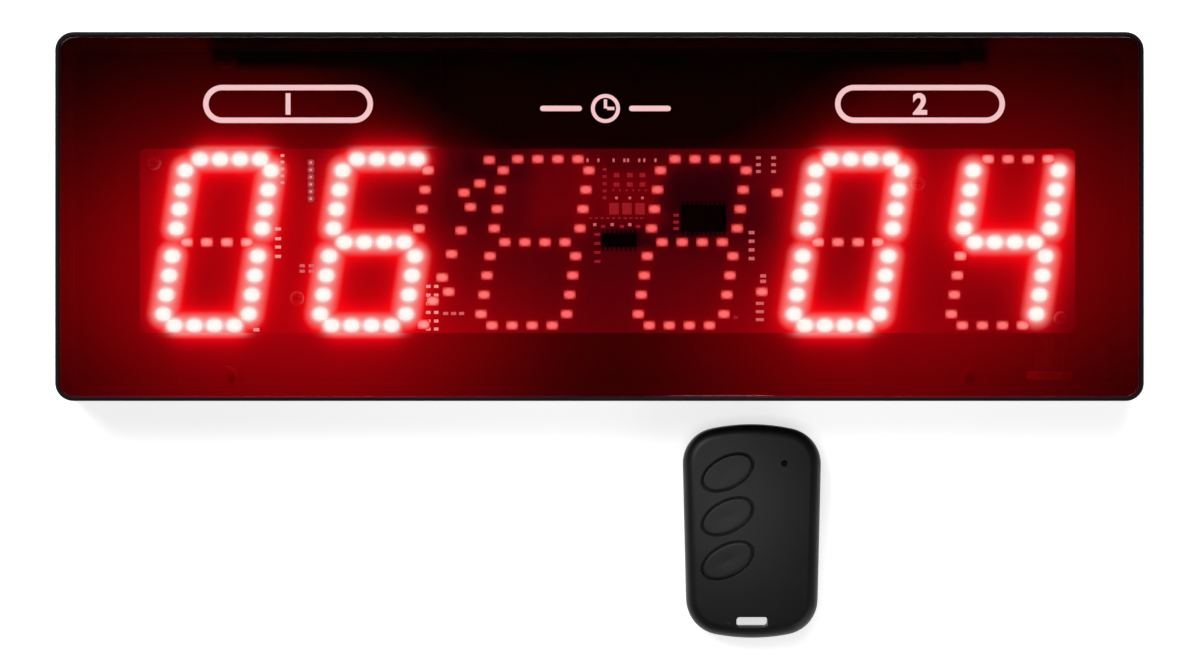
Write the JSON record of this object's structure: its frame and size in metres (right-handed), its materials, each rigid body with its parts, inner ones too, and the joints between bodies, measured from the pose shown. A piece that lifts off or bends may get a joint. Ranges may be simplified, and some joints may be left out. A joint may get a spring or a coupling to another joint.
{
  "type": "electronic scoreboard with hand remote",
  "caption": "Long shallow scoreboard with slanted dotted LED digits behind one dark red front panel, lying beside its small three-key radio remote.",
  "frame": {"origin": "middle of the back of the scoreboard's rear cover, on the surface that the scoreboard and the remote lie on", "axes": "+X along the scoreboard, +Y the display's own up direction, +Z out of the display, away from the surface or wall behind it"},
  "size_m": [0.3, 0.1678, 0.03],
  "materials": {
    "case_plastic": "black moulded plastic, satin",
    "panel_acrylic": "dark red clear acrylic sheet, polished",
    "tape_foam": "thin black mounting tape",
    "circuit_board": "solder resist on glass laminate",
    "lamp_lit": "lit red lamp",
    "lamp_dark": "unlit surface-mounted lamp",
    "panel_print": "pale ink on the front panel",
    "chip_plastic": "black moulding compound",
    "bright_steel": "plated steel",
    "dark_steel": "blackened screw steel",
    "copper_wire": "bare copper",
    "capacitor_sleeve": "shrunk sleeve",
    "white_plastic": "natural nylon",
    "cable_sheath": "soft black sheath",
    "green_board": "green solder resist",
    "remote_plastic": "charcoal plastic with a fine texture",
    "key_plastic": "charcoal plastic, smoother than the shell",
    "indicator_lens": "clear red lens"
  },
  "bodies": {
    "scoreboard": {"case_frame": "case_plastic", "front_panel": "panel_acrylic", "panel_tape": "tape_foam", "rear_cover": "case_plastic", "rear_screw_1": "dark_steel", "rear_screw_2": "dark_steel", "rear_screw_3": "dark_steel", "rear_screw_4": "dark_steel", "display_board": "circuit_board", "board_screw_1": "dark_steel", "board_screw_2": "dark_steel", "board_screw_3": "dark_steel", "board_screw_4": "dark_steel", "led_driver": "chip_plastic", "logic_chip": "chip_plastic", "programming_header": "chip_plastic", "microcontroller": "chip_plastic", "clock_crystal": "bright_steel", "power_regulator": "chip_plastic", "filter_capacitor": "capacitor_sleeve", "lead_connector": "white_plastic", "receiver_board": "green_board", "receiver_aerial": "copper_wire", "power_inlet": "chip_plastic", "inlet_nut": "bright_steel", "power_lead": "cable_sheath"},
    "remote": {"remote_front_shell": "remote_plastic", "remote_rear_shell": "remote_plastic", "remote_board": "green_board", "battery": "bright_steel", "battery_clip": "bright_steel", "battery_contact": "copper_wire", "remote_chip": "chip_plastic", "remote_resonator": "bright_steel", "remote_indicator": "indicator_lens", "remote_screw_1": "bright_steel", "remote_screw_2": "bright_steel", "switch_body_1": "chip_plastic", "switch_body_2": "chip_plastic", "switch_body_3": "chip_plastic"},
    "key_1": {"key_cap_1": "key_plastic"},
    "key_2": {"key_cap_2": "key_plastic"},
    "key_3": {"key_cap_3": "key_plastic"},
    "plunger_1": {"switch_plunger_1": "white_plastic"},
    "plunger_2": {"switch_plunger_2": "white_plastic"},
    "plunger_3": {"switch_plunger_3": "white_plastic"}
  },
  "joints": [
    {"name": "remote_lift", "type": "slide", "parent": "scoreboard", "child": "remote", "axis": [0, 0, 1], "range_m": [0, 0.12]},
    {"name": "key_1_press", "type": "slide", "parent": "remote", "child": "key_1", "axis": [0, 0, -1], "range_m": [0, 0.0007], "stiffness_N_per_m": 800},
    {"name": "key_2_press", "type": "slide", "parent": "remote", "child": "key_2", "axis": [0, 0, -1], "range_m": [0, 0.0007], "stiffness_N_per_m": 800},
    {"name": "key_3_press", "type": "slide", "parent": "remote", "child": "key_3", "axis": [0, 0, -1], "range_m": [0, 0.0007], "stiffness_N_per_m": 800},
    {"name": "plunger_1_press", "type": "slide", "parent": "remote", "child": "plunger_1", "axis": [0, 0, -1], "range_m": [0, 0.00031]},
    {"name": "plunger_2_press", "type": "slide", "parent": "remote", "child": "plunger_2", "axis": [0, 0, -1], "range_m": [0, 0.00031]},
    {"name": "plunger_3_press", "type": "slide", "parent": "remote", "child": "plunger_3", "axis": [0, 0, -1], "range_m": [0, 0.00031]}
  ],
  "couplings": [
    {"joint": "plunger_1_press", "follows": "key_1_press", "ratio": 0.43},
    {"joint": "plunger_2_press", "follows": "key_2_press", "ratio": 0.43},
    {"joint": "plunger_3_press", "follows": "key_3_press", "ratio": 0.43}
  ]
}
